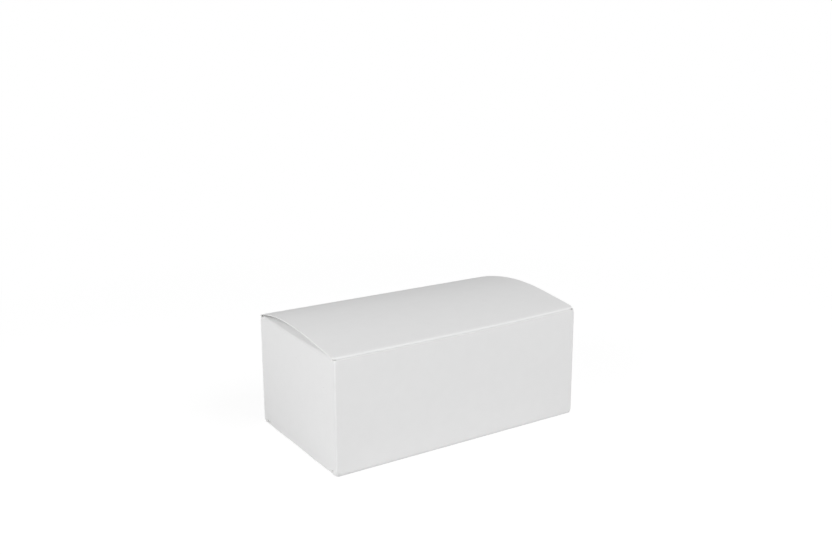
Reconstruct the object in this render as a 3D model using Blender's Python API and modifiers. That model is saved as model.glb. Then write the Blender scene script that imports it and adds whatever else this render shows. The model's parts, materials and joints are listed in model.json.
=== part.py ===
"""Fried chicken box: a folding carton with a bowed tuck-in lid and a crash-lock base.

The real carton is one die-cut blank of white paperboard with a glued seam. Each object below is one
panel or flap of that blank, and each flap carries the rounded fold that joins it to its panel.
Metres, +Z up, origin at the middle of the underside, +X along the length, front at -Y.
"""

import math

import bmesh
import bpy
from mathutils import Matrix, Vector

# Outside size of the closed carton, up to the fold lines of the lid
LENGTH = 0.184
DEPTH = 0.102
HEIGHT = 0.075

# Board and folds
BOARD = 0.0005
GAP = 0.0003
FOLD_INNER_RADIUS = 0.0006
LIP_INNER_RADIUS = 0.0012
FOLD_MARGIN = 0.0008

# Lid: the rise of its bow, and the share by which the bow leans to the hinge side
CROWN = 0.0062
CROWN_LEAN_SHARE = 0.12

# Tuck flap at the lid's front edge
TUCK_LENGTH = 0.014
TUCK_TILT = math.radians(9)
TUCK_SIDE_CLEARANCE = 0.0012
TUCK_TAPER = 0.0025
TUCK_CORNER_RADIUS = 0.006

# Dust flaps at the top of the end walls
DUST_LENGTH = 0.041
DUST_SLOPE = math.radians(4.5)
DUST_SHOULDER = 0.0032
DUST_FRONT_TAPER = 0.0178
DUST_BACK_TAPER = 0.0218
DUST_CORNER_RADIUS = 0.008

# Glue flap of the seam, at the back right corner
SEAM_WIDTH = 0.014
SEAM_TAPER = 0.01
SEAM_CORNER_RADIUS = 0.002

# Base flaps of the end walls
END_BASE_DEPTH = 0.042
END_BASE_SHOULDER = 0.005
END_BASE_TAPER = 0.009
END_BASE_CORNER_RADIUS = 0.006

# Base flaps of the long walls, with the hooked nose of each that locks over the other
RAMP_LENGTH = 0.004
EDGE_SETBACK = 0.0005
NOSE_OVERLAP = 0.0105
NOSE_TAPER = 0.006
NOSE_CORNER_RADIUS = 0.004
NOSE_SIDE_CLEARANCE = 0.002
HOOK_LENGTH = 0.005
HOOK_SETBACK = 0.0025
HOOK_CORNER_RADIUS = 0.0015
SLIT_HALF_WIDTH = 0.001
RELIEF = 0.012

# Glue ears, across the diagonal creases of the base
EAR_CLEARANCE = 0.0015
EAR_EDGE_LENGTH = 0.016
EAR_TAPER = 0.006
EAR_CORNER_RADIUS = 0.003

# How far a die reaches past the board that it cuts
OVERRUN = 0.005

ARC_STEPS = 6
LID_STEPS = 24

# Board colours: clay-coated outside, and the plain inside that the flaps show
COATED_WHITE = (0.82, 0.82, 0.82, 1)
INNER_WHITE = (0.78, 0.78, 0.77, 1)
COATED_ROUGHNESS = 0.55
INNER_ROUGHNESS = 0.75

HALF_LENGTH = LENGTH / 2
HALF_DEPTH = DEPTH / 2
FOLD_RADIUS = BOARD + FOLD_INNER_RADIUS
LIP_RADIUS = BOARD + LIP_INNER_RADIUS
FOLD_LAND = FOLD_RADIUS + FOLD_MARGIN
LIP_LAND = LIP_RADIUS + FOLD_MARGIN
PANEL_END = HALF_LENGTH - FOLD_LAND - GAP
RIM = HEIGHT - BOARD - 2 * GAP
DUST_CREASE = HEIGHT - BOARD
DUST_FLOOR = DUST_CREASE - FOLD_LAND - GAP
LIP_Y = -(HALF_DEPTH - BOARD - GAP)
UPPER_LAYER = BOARD + GAP
RAMP_FOOT = (RAMP_LENGTH + GAP) / 2

X, Y, Z = range(3)
LEFT, RIGHT = -1, 1
CARTON = "fried_chicken_box"
DIES = "dies"


def in_space(axis, pair, distance):
    """The point at this distance on the axis, with the pair as its two other coordinates."""
    values = list(pair)
    values.insert(axis, distance)
    return Vector(values)


def rounded(corners):
    """Points of an outline given as (a, b, radius) corners, with an arc where the radius isn't zero."""
    places = [Vector(corner[:2]) for corner in corners]
    points = []
    for i, (place, corner) in enumerate(zip(places, corners)):
        radius = corner[2]
        if radius == 0:
            points.append(place)
            continue
        back = places[i - 1] - place
        ahead = places[(i + 1) % len(places)] - place
        room = min(back.length, ahead.length) / 2
        back.normalize()
        ahead.normalize()
        half = back.angle(ahead) / 2
        reach = min(radius / math.tan(half), room)
        centre = place + (back + ahead).normalized() * reach / math.cos(half)
        start = place + back * reach - centre
        end = place + ahead * reach - centre
        sweep = math.copysign(start.angle(end), start.cross(end))
        turns = (Matrix.Rotation(sweep * step / ARC_STEPS, 2) for step in range(ARC_STEPS + 1))
        points += [centre + turn @ start for turn in turns]
    return points


def board_material(name, colour, roughness):
    material = bpy.data.materials.new(name + "_board")
    material.use_nodes = True
    shader = material.node_tree.nodes["Principled BSDF"]
    shader.inputs["Base Color"].default_value = colour
    shader.inputs["Roughness"].default_value = roughness
    shader.inputs["Metallic"].default_value = 0
    return material


def new_collection(name):
    collection = bpy.data.collections.new(name)
    bpy.context.scene.collection.children.link(collection)
    return collection


def crease_axis(name, place, parent=None):
    """An empty on a crease: turning it about its crease moves the flap that hangs on it."""
    empty = bpy.data.objects.new(name, None)
    empty.empty_display_size = FOLD_LAND
    bpy.data.collections[CARTON].objects.link(empty)
    empty.parent = parent
    empty.location = Vector(place)
    if parent:
        empty.location -= parent.matrix_world.translation
    bpy.context.view_layer.update()
    return empty


def add_piece(name, data, coated, parent):
    """Links a panel or a flap to the carton, with its own board material."""
    piece = bpy.data.objects.new(name, data)
    colour, roughness = (COATED_WHITE, COATED_ROUGHNESS) if coated else (INNER_WHITE, INNER_ROUGHNESS)
    data.materials.append(board_material(name, colour, roughness))
    bpy.data.collections[CARTON].objects.link(piece)
    piece.parent = parent
    bpy.context.view_layer.update()
    return piece


def folded_board(name, profile, axis, span, outward, parent, coated=True):
    """Board folded to a profile: its outer surface is swept along the axis and given its caliper."""
    origin = parent.matrix_world.translation
    low, high = span
    bm = bmesh.new()
    chain = [bm.verts.new(in_space(axis, pair, low) - origin) for pair in profile]
    edges = [bm.edges.new(pair) for pair in zip(chain, chain[1:])]
    swept = bmesh.ops.extrude_edge_only(bm, edges=edges)["geom"]
    moved = [item for item in swept if isinstance(item, bmesh.types.BMVert)]
    bmesh.ops.translate(bm, verts=moved, vec=in_space(axis, (0, 0), high - low))
    bmesh.ops.recalc_face_normals(bm, faces=bm.faces[:])
    facing = max((face.normal.dot(Vector(outward)) for face in bm.faces), key=abs)
    if facing < 0:
        bmesh.ops.reverse_faces(bm, faces=bm.faces[:])
    for edge in bm.edges:
        edge.smooth = not edge.is_boundary
    for face in bm.faces:
        face.smooth = True
    mesh = bpy.data.meshes.new(name)
    bm.to_mesh(mesh)
    bm.free()
    piece = add_piece(name, mesh, coated, parent)
    wall = piece.modifiers.new("caliper", "SOLIDIFY")
    wall.thickness = BOARD
    wall.offset = -1
    wall.use_even_offset = True
    return piece


def outline_curve(name, points, thickness):
    """A filled flat outline with half its thickness on either side."""
    curve = bpy.data.curves.new(name, "CURVE")
    curve.dimensions = "2D"
    curve.fill_mode = "BOTH"
    curve.extrude = thickness / 2
    spline = curve.splines.new("POLY")
    spline.points.add(len(points) - 1)
    for knot, point in zip(spline.points, points):
        knot.co = (*point, 0, 1)
    spline.use_cyclic_u = True
    spline.use_smooth = False
    return curve


def laid_across(axis, middle):
    """The matrix that lays a flat outline square to the axis, with its thickness centred on the middle."""
    across, up = (Vector(row) for i, row in enumerate(Matrix.Identity(3)) if i != axis)
    turn = Matrix((across, up, across.cross(up))).transposed().to_4x4()
    return Matrix.Translation(in_space(axis, (0, 0), middle)) @ turn


def flat_board(name, points, axis, middle, parent, coated=True):
    """A flat panel: its outline as a filled curve, one board thick."""
    piece = add_piece(name, outline_curve(name, points, BOARD), coated, parent)
    piece.matrix_world = laid_across(axis, middle)
    return piece


def die_cut(piece, points, axis, span):
    """Cuts folded board to an outline, as the steel rule cuts the blank before it is folded."""
    low, high = span
    guide = bpy.data.objects.new(piece.name + "_outline", outline_curve(piece.name, points, high - low))
    bpy.data.collections[DIES].objects.link(guide)
    guide.matrix_world = laid_across(axis, (low + high) / 2)
    bpy.context.view_layer.update()
    graph = bpy.context.evaluated_depsgraph_get()
    mesh = bpy.data.meshes.new_from_object(guide.evaluated_get(graph))
    bm = bmesh.new()
    bm.from_mesh(mesh)
    bmesh.ops.remove_doubles(bm, verts=bm.verts[:], dist=GAP / 10)
    bm.to_mesh(mesh)
    bm.free()
    die = bpy.data.objects.new(piece.name + "_die", mesh)
    bpy.data.collections[DIES].objects.link(die)
    die.parent = piece
    die.matrix_world = guide.matrix_world
    die.hide_render = True
    die.display_type = "WIRE"
    bpy.data.objects.remove(guide)
    cut = piece.modifiers.new("die cut", "BOOLEAN")
    cut.operation = "INTERSECT"
    cut.object = die


def crown(y):
    """Rise of the bowed lid over the line between its hinge fold and its front lip."""
    middle = (HALF_DEPTH + LIP_Y) / 2
    share = (y - middle) / (HALF_DEPTH - middle)
    return CROWN * (1 - share**2) * (1 + CROWN_LEAN_SHARE * share)


def front_and_back_panels(carton):
    """The two long walls: flat boards between the folds of their neighbours."""
    foot = FOLD_LAND + GAP
    for name, y, top in (
        ("front_panel", -(HALF_DEPTH - BOARD / 2), RIM),
        ("back_panel", HALF_DEPTH - BOARD / 2, HEIGHT - FOLD_LAND - GAP),
    ):
        outline = [(-PANEL_END, foot), (PANEL_END, foot), (PANEL_END, top), (-PANEL_END, top)]
        flat_board(name, outline, Y, y, carton)


def end_panel_outline():
    """An end wall seen from its side, stepped down between its shoulders for the folds of its flaps."""
    outer = HALF_DEPTH + OVERRUN
    dust_end = HALF_DEPTH - DUST_SHOULDER + GAP
    base_end = HALF_DEPTH - END_BASE_SHOULDER + GAP
    base_roof = UPPER_LAYER + FOLD_LAND + GAP
    return [
        (-outer, GAP),
        (-base_end, GAP),
        (-base_end, base_roof),
        (base_end, base_roof),
        (base_end, GAP),
        (outer, GAP),
        (outer, RIM),
        (dust_end, RIM),
        (dust_end, DUST_FLOOR),
        (-dust_end, DUST_FLOOR),
        (-dust_end, RIM),
        (-outer, RIM),
    ]


def end_panel(name, side, seam, carton):
    """An end wall with the rounded corner folds to the long walls, or a raw edge at the glued seam."""
    x = side * HALF_LENGTH
    land = side * (HALF_LENGTH - FOLD_LAND)
    raw_edge = HALF_DEPTH - FOLD_LAND
    profile = [(land, -HALF_DEPTH, 0), (x, -HALF_DEPTH, FOLD_RADIUS)]
    if seam:
        profile += [(x, raw_edge, 0)]
    else:
        profile += [(x, HALF_DEPTH, FOLD_RADIUS), (land, HALF_DEPTH, 0)]
    piece = folded_board(name, rounded(profile), Z, (0, HEIGHT), (side, 0, 0), carton)
    die_cut(piece, end_panel_outline(), X, (x - OVERRUN, x + OVERRUN))


def seam_glue_flap(carton):
    """The glue flap: folded off the back panel and glued to the inside of the right end panel."""
    x = HALF_LENGTH - BOARD - GAP
    tip = HALF_DEPTH - SEAM_WIDTH
    fold_start = PANEL_END + GAP
    profile = rounded([(fold_start, HALF_DEPTH, 0), (x, HALF_DEPTH, FOLD_RADIUS), (x, tip - OVERRUN, 0)])
    piece = folded_board("seam_glue_flap", profile, Z, (0, HEIGHT), (0, 1, 0), carton, coated=False)
    outer = HALF_DEPTH + OVERRUN
    outline = rounded(
        [
            (outer, GAP, 0),
            (HALF_DEPTH - FOLD_LAND, GAP, 0),
            (tip, GAP + SEAM_TAPER, SEAM_CORNER_RADIUS),
            (tip, DUST_FLOOR - SEAM_TAPER, SEAM_CORNER_RADIUS),
            (HALF_DEPTH - FOLD_LAND, DUST_FLOOR, 0),
            (HALF_DEPTH - FOLD_LAND, RIM, 0),
            (outer, RIM, 0),
        ]
    )
    die_cut(piece, outline, X, (HALF_LENGTH - SEAM_WIDTH, HALF_LENGTH + OVERRUN))


def lid_panel(hinge):
    """The bowed lid, with the rounded fold at its back that is its hinge."""
    fold = rounded(
        [
            (HALF_DEPTH, HEIGHT - FOLD_LAND, 0),
            (HALF_DEPTH, HEIGHT, FOLD_RADIUS),
            (HALF_DEPTH - FOLD_LAND, HEIGHT + crown(HALF_DEPTH - FOLD_LAND), 0),
        ]
    )
    start = HALF_DEPTH - FOLD_LAND
    end = LIP_Y + LIP_LAND + GAP
    steps = [start + (end - start) * step / LID_STEPS for step in range(1, LID_STEPS + 1)]
    bow = [Vector((y, HEIGHT + crown(y))) for y in steps]
    side = HALF_LENGTH - GAP
    piece = folded_board("lid_panel", fold + bow, X, (-side, side), (0, 1, 0), hinge)
    step_up = RIM + GAP
    top = HEIGHT + CROWN + OVERRUN
    low = HEIGHT - FOLD_LAND - OVERRUN
    outer = side + OVERRUN
    outline = [
        (-PANEL_END, low),
        (PANEL_END, low),
        (PANEL_END, step_up),
        (outer, step_up),
        (outer, top),
        (-outer, top),
        (-outer, step_up),
        (-PANEL_END, step_up),
    ]
    die_cut(piece, outline, Y, (-(HALF_DEPTH + OVERRUN), HALF_DEPTH + OVERRUN))


def tuck_flap(crease):
    """The flap that tucks behind the front panel, hung on the lid's rounded front lip."""
    downward = Vector((math.sin(TUCK_TILT), -math.cos(TUCK_TILT)))
    sheet_end = Vector((LIP_Y, HEIGHT)) + downward * (TUCK_LENGTH + OVERRUN)
    lid_edge = Vector((LIP_Y + LIP_LAND, HEIGHT + crown(LIP_Y + LIP_LAND)))
    profile = rounded([(*lid_edge, 0), (LIP_Y, HEIGHT, LIP_RADIUS), (*sheet_end, 0)])
    side = HALF_LENGTH - GAP
    piece = folded_board("tuck_flap", profile, X, (-side, side), (0, 0, 1), crease)
    inner = HALF_LENGTH - BOARD - TUCK_SIDE_CLEARANCE
    free = inner - TUCK_TAPER
    step_up = RIM + GAP
    low = HEIGHT - TUCK_LENGTH * math.cos(TUCK_TILT)
    top = HEIGHT + CROWN
    outer = side + OVERRUN
    right = [
        (free, low, TUCK_CORNER_RADIUS),
        (inner, step_up - LIP_LAND, 0),
        (inner, step_up, 0),
        (outer, step_up, 0),
        (outer, top, 0),
    ]
    left = [(-x, z, radius) for x, z, radius in reversed(right)]
    die_cut(piece, rounded(right + left), Y, (LIP_Y - OVERRUN, lid_edge.x + OVERRUN))


def dust_flap(name, side, crease):
    """A dust flap: folded in from an end wall and sloping up under the bow of the lid."""
    x = side * HALF_LENGTH
    tip_x = x - side * DUST_LENGTH * math.cos(DUST_SLOPE)
    slope = Vector((-side * math.cos(DUST_SLOPE), math.sin(DUST_SLOPE)))
    sheet_end = Vector((x, DUST_CREASE)) + slope * (DUST_LENGTH + OVERRUN)
    profile = rounded([(x, DUST_CREASE - FOLD_LAND, 0), (x, DUST_CREASE, FOLD_RADIUS), (*sheet_end, 0)])
    piece = folded_board(name, profile, Y, (-HALF_DEPTH, HALF_DEPTH), (side, 0, 0), crease)
    root = HALF_DEPTH - DUST_SHOULDER
    fold_end = x - side * FOLD_LAND
    outline = rounded(
        [
            (x + side * OVERRUN, -root, 0),
            (fold_end, -root, 0),
            (tip_x, -(root - DUST_FRONT_TAPER), DUST_CORNER_RADIUS),
            (tip_x, root - DUST_BACK_TAPER, DUST_CORNER_RADIUS),
            (fold_end, root, 0),
            (x + side * OVERRUN, root, 0),
        ]
    )
    die_cut(piece, outline, Z, (DUST_CREASE - FOLD_LAND - OVERRUN, sheet_end.y + OVERRUN))


def end_base_flap(name, side, carton):
    """A base flap of an end wall. It lies on the glue ear and on the base flaps of the long walls."""
    x = side * HALF_LENGTH
    tip = side * (HALF_LENGTH - END_BASE_DEPTH)
    sheet_end = tip - side * OVERRUN
    fold_top = UPPER_LAYER + FOLD_LAND
    profile = rounded([(x, fold_top, 0), (x, UPPER_LAYER, FOLD_RADIUS), (sheet_end, UPPER_LAYER, 0)])
    piece = folded_board(name, profile, Y, (-HALF_DEPTH, HALF_DEPTH), (side, 0, 0), carton, coated=False)
    root = HALF_DEPTH - END_BASE_SHOULDER
    fold_end = x - side * FOLD_LAND
    outline = rounded(
        [
            (x + side * OVERRUN, -root, 0),
            (fold_end, -root, 0),
            (tip, -(root - END_BASE_TAPER), END_BASE_CORNER_RADIUS),
            (tip, root - END_BASE_TAPER, END_BASE_CORNER_RADIUS),
            (fold_end, root, 0),
            (x + side * OVERRUN, root, 0),
        ]
    )
    die_cut(piece, outline, Z, (UPPER_LAYER - OVERRUN, fold_top + OVERRUN))


def long_base_flap(name, turn, carton):
    """A base flap of a long wall, drawn for the front one.

    It is cut along its 45 degree crease on the right and has its locking nose on the left. The nose
    ramps up over the edge of the opposite flap, and its hook reaches past the slit between the two.
    """
    nose_tip = RAMP_FOOT + EDGE_SETBACK + NOSE_OVERLAP
    profile = rounded(
        [
            (-HALF_DEPTH, FOLD_LAND, 0),
            (-HALF_DEPTH, 0, FOLD_RADIUS),
            (-RAMP_FOOT, 0, 0),
            (RAMP_LENGTH - RAMP_FOOT, UPPER_LAYER, 0),
            (nose_tip + OVERRUN, UPPER_LAYER, 0),
        ]
    )
    piece = folded_board(name, profile, X, (-HALF_LENGTH, HALF_LENGTH), (0, -1, 0), carton)
    edge = -(RAMP_FOOT + EDGE_SETBACK)
    crease_gap = GAP / math.sqrt(2)
    crease_end = HALF_LENGTH - crease_gap - (edge + HALF_DEPTH)
    crease_start = HALF_LENGTH - crease_gap - PANEL_END - HALF_DEPTH
    nose_outer = HALF_LENGTH - END_BASE_DEPTH - NOSE_SIDE_CLEARANCE
    hook_root = RAMP_FOOT + HOOK_SETBACK
    outline = rounded(
        [
            (-PANEL_END, -(HALF_DEPTH + OVERRUN), 0),
            (PANEL_END, -(HALF_DEPTH + OVERRUN), 0),
            (PANEL_END, crease_start, 0),
            (crease_end, edge, 0),
            (-SLIT_HALF_WIDTH, edge, 0),
            (-SLIT_HALF_WIDTH, hook_root, HOOK_CORNER_RADIUS),
            (HOOK_LENGTH, hook_root + HOOK_SETBACK, HOOK_CORNER_RADIUS),
            (HOOK_LENGTH, nose_tip, NOSE_CORNER_RADIUS),
            (-(nose_outer - NOSE_TAPER), nose_tip, NOSE_CORNER_RADIUS),
            (-nose_outer, edge, 0),
            (-(PANEL_END - RELIEF), edge, NOSE_CORNER_RADIUS),
            (-PANEL_END, FOLD_LAND - HALF_DEPTH, 0),
        ]
    )
    die_cut(piece, outline, Z, (-OVERRUN, FOLD_LAND + OVERRUN))
    piece.rotation_euler.z = turn


def glue_ear(name, turn, carton):
    """The glue ear of a long base flap, drawn for the front one: it is glued under the end base flap."""
    edge = -(RAMP_FOOT + EDGE_SETBACK)
    outer = HALF_LENGTH - EAR_CLEARANCE
    crease_gap = GAP / math.sqrt(2)
    crease_end = HALF_LENGTH + crease_gap - (edge + HALF_DEPTH)
    crease_start = HALF_LENGTH + crease_gap - outer - HALF_DEPTH
    outline = rounded(
        [
            (outer, crease_start, 0),
            (outer, edge - EAR_TAPER, EAR_CORNER_RADIUS),
            (crease_end + EAR_EDGE_LENGTH, edge, EAR_CORNER_RADIUS),
            (crease_end, edge, 0),
        ]
    )
    piece = flat_board(name, outline, Z, BOARD / 2, carton, coated=False)
    piece.matrix_world = Matrix.Rotation(turn, 4, "Z") @ piece.matrix_world


def main():
    for obj in list(bpy.data.objects):
        bpy.data.objects.remove(obj, do_unlink=True)
    new_collection(CARTON)
    new_collection(DIES)
    carton = crease_axis("carton_body", (0, 0, 0))
    lid_hinge = crease_axis("lid_hinge", (0, HALF_DEPTH, HEIGHT), carton)
    tuck_crease = crease_axis("tuck_crease", (0, LIP_Y, HEIGHT), lid_hinge)
    left_crease = crease_axis("left_dust_crease", (-HALF_LENGTH, 0, DUST_CREASE), carton)
    right_crease = crease_axis("right_dust_crease", (HALF_LENGTH, 0, DUST_CREASE), carton)

    front_and_back_panels(carton)
    end_panel("left_end_panel", LEFT, False, carton)
    end_panel("right_end_panel", RIGHT, True, carton)
    seam_glue_flap(carton)
    long_base_flap("front_base_flap", 0, carton)
    long_base_flap("back_base_flap", math.pi, carton)
    glue_ear("front_glue_ear", 0, carton)
    glue_ear("back_glue_ear", math.pi, carton)
    end_base_flap("left_base_flap", LEFT, carton)
    end_base_flap("right_base_flap", RIGHT, carton)
    lid_panel(lid_hinge)
    tuck_flap(tuck_crease)
    dust_flap("left_dust_flap", LEFT, left_crease)
    dust_flap("right_dust_flap", RIGHT, right_crease)


main()
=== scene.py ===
import json
import math

import bmesh
import bpy
from bpy.props import FloatProperty, FloatVectorProperty, PointerProperty
from mathutils import Matrix, Vector


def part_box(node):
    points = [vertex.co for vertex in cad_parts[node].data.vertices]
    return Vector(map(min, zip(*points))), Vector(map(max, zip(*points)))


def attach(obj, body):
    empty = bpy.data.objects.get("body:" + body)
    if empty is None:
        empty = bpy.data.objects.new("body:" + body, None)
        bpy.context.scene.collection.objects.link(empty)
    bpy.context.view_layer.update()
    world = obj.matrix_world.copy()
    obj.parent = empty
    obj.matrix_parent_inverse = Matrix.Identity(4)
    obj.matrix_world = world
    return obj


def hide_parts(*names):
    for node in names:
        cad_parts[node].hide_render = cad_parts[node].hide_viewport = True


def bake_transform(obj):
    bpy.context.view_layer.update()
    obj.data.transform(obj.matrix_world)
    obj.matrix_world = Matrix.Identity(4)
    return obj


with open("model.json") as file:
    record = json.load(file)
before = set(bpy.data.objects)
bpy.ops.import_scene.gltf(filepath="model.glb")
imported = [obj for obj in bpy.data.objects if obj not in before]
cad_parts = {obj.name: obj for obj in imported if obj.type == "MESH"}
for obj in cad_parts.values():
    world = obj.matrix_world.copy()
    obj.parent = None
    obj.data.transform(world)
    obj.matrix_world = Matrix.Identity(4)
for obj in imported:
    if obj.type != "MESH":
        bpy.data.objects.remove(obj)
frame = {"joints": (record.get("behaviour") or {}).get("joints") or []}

bl_info = {
    "name": "Fried chicken box",
    "version": (1, 0, 0),
    "blender": (4, 5, 0),
    "location": "View3D > Sidebar > Carton",
    "description": "Folds a plain white food carton from die-cut board, with a bowed tuck-in lid",
    "category": "Add Mesh",
}

# Every piece is a flat sheet in its own plane, outer side up, that is cut, creased and folded and is then
# set on its crease. Local X runs across the crease, local Y along it, and local Z out of the coated side.

TINY = 1e-6
ACROSS = Vector((1, 0, 0))
ALONG = Vector((0, 1, 0))
UP = Vector((0, 0, 1))
RIGHT, LEFT = 1, -1
SQUARE = math.pi / 2

# The carton's own sizes, read from its frame
CREASES = {joint["name"]: Vector(joint["pos_m"]) for joint in frame["joints"]}
LID_CREASE = CREASES["lid_hinge"]
LIP_CREASE = CREASES["tuck_flap_hinge"]
DUST_CREASE = CREASES["right_dust_flap_hinge"]
FRONT_LOW, FRONT_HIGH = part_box("front_panel")
BACK_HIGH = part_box("back_panel")[1]
SEAM_LOW, SEAM_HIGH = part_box("seam_glue_flap")
END_LOW, END_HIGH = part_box("right_end_panel")
LID_LOW, LID_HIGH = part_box("lid_panel")
DUST_LOW, DUST_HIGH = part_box("right_dust_flap")
END_BASE_LOW, END_BASE_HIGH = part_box("right_base_flap")
LONG_BASE_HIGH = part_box("front_base_flap")[1]
EAR_LOW, EAR_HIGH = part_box("front_glue_ear")

HALF_LENGTH = DUST_CREASE.x
HALF_DEPTH = LID_CREASE.y
HEIGHT = LID_CREASE.z
CALIPER = FRONT_HIGH.y - FRONT_LOW.y
RIM = FRONT_HIGH.z
FOOT = END_LOW.z
UPPER_LAYER = END_BASE_LOW.z
HALF_FLAP = FRONT_HIGH.x

# Where one piece joins the next on a flat of the board, as a distance from the crease
LEG = LID_CREASE.z - (LID_LOW.z + BACK_HIGH.z) / 2

# How finely the folds, the rounded corners, the bow and the cut edges are meshed
FOLD_STEPS = 8
ROUND_STEPS = 8
BOW_STEPS = 44
EDGE_STEPS = 2
BLUNT_SHARES = (0.25, 0.5, 0.75, 1)
SHARP_ANGLE = math.radians(20)

# How many times closer than the grid the lines lie along the flaps, and across a dust flap's belly
FLAP_FINENESS = 2
BELLY_FINENESS = 5

# The gap between a wall's cut and its flap, as a share of the caliper
GAP_SHARE = 1 / 4

# How far round the lip's fold the tuck flap keeps its own width, as a share of the fold
LIP_STEP_SHARE = 0.31

# Where the front curls, the front right corner leans and the dust flaps pull, as shares of the carton
CURL_SHARES = (0.5, 1)
LEAN_SHARES = (-0.5, 1)
PULL_SHARES = (0.8, 0.98)

# The bottom folds of the end walls: how high they reach, and how they hang and wave
FOOT_ZONE = HEIGHT / 6
CORNER_LIFT_SHARE = 0.2
SAG_SHARE = 0.9
WAVE_START_SHARE = 0.15

# The features of the board's surfaces: sizes, noise details and strengths
CLOUD_SIZE = 0.007
GRAIN_SIZE = 0.0022
SHEEN_SIZE = 0.0012
SPECK_SPACING = 0.024
SPECK_RIM_SHARES = (0.009, 0.014)
FINE_DETAIL = 3
COARSE_DETAIL = 2
GRAIN_STRENGTH = 0.5
FIBRE_STRENGTH = 0.6
SHEEN_SPREAD = 0.05
SPECULAR = 0.4

# The photograph: its size in pixels, and where the middle of the carton is in it
PICTURE = Vector((832, 555))
MIDDLE_IN_PICTURE = Vector((419.339, 365.217))


def measure(name, description, default, precision=4):
    """A length among the settings."""
    return FloatProperty(
        name=name, description=description, default=default, unit="LENGTH", precision=precision)


class BoardSettings(bpy.types.PropertyGroup):
    """The paperboard and its folds."""

    caliper: measure("Caliper", "Thickness of the board", CALIPER, 5)
    fold_radius: measure("Fold radius", "Outer radius of a creased fold", 0.0011, 5)
    dust_radius: measure(
        "Dust flap fold radius", "Outer radius of the folds of the dust flaps", 0.0012, 5)
    lip_radius: measure("Lip radius", "Outer radius of the lid's softer front fold", 0.0019, 5)
    crease_depth: measure("Crease depth", "Depth of a pressed crease that isn't folded", 0.00012, 5)
    cut_rounding: measure("Cut rounding", "How far a die-cut edge is rounded", 0.00018, 6)
    grid: measure("Grid", "Spacing of the mesh lines that let a panel bend", 0.01)


class DieSettings(bpy.types.PropertyGroup):
    """Where the die cuts the flaps."""

    dust_front_taper: measure(
        "Dust flap front taper", "How far its front side draws in to its tip", 0.0178)
    dust_back_taper: measure("Dust flap back taper", "How far its back side draws in to its tip", 0.0218)
    dust_rounding: measure("Dust flap rounding", "Setback of its rounded corners", 0.008)
    tuck_length: measure("Tuck flap length", "From the front fold to its free edge", 0.014)
    tuck_clearance: measure(
        "Tuck flap clearance", "From its sides to the outside of the end walls", 0.0017)
    tuck_taper: measure("Tuck flap taper", "How far its sides draw in", 0.0025)
    tuck_rounding: measure("Tuck flap rounding", "Setback of its rounded corners", 0.006)
    seam_taper: measure("Seam taper", "How far the glue flap's ends draw in", 0.01)
    seam_rounding: measure("Seam rounding", "Setback of the glue flap's corners", 0.001)
    base_taper: measure("End base flap taper", "How far its sides draw in", 0.009)
    base_rounding: measure("End base flap rounding", "Setback of its rounded corners", 0.006)
    slit: measure("Slit", "Half the slit in which the two noses cross", 0.001)
    hook_length: measure("Hook length", "How far a nose reaches past the middle", 0.005)
    hook_root: measure("Hook root", "From the top of the ramp to the hook", 0.0028)
    hook_setback: measure("Hook setback", "Slope of the hook's edge", 0.0025)
    hook_rounding: measure("Hook rounding", "Setback of the hook's corners", 0.0015)
    ramp_end: measure("Ramp end", "From the middle to the top of a nose's ramp", 0.00185, 5)
    nose_clearance: measure("Nose clearance", "From a nose to the end base flap", 0.002)
    nose_taper: measure("Nose taper", "How far a nose draws in", 0.006)
    nose_rounding: measure("Nose rounding", "Setback of a nose's corners", 0.004)
    relief: measure("Relief", "How far the long flap's free side draws in", 0.012)
    ear_edge: measure("Ear edge", "Length of the glue ear's free edge", 0.016)
    ear_taper: measure("Ear taper", "How far the glue ear's side stops short", 0.006)
    ear_rounding: measure("Ear rounding", "Setback of the glue ear's corners", 0.003)


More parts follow.
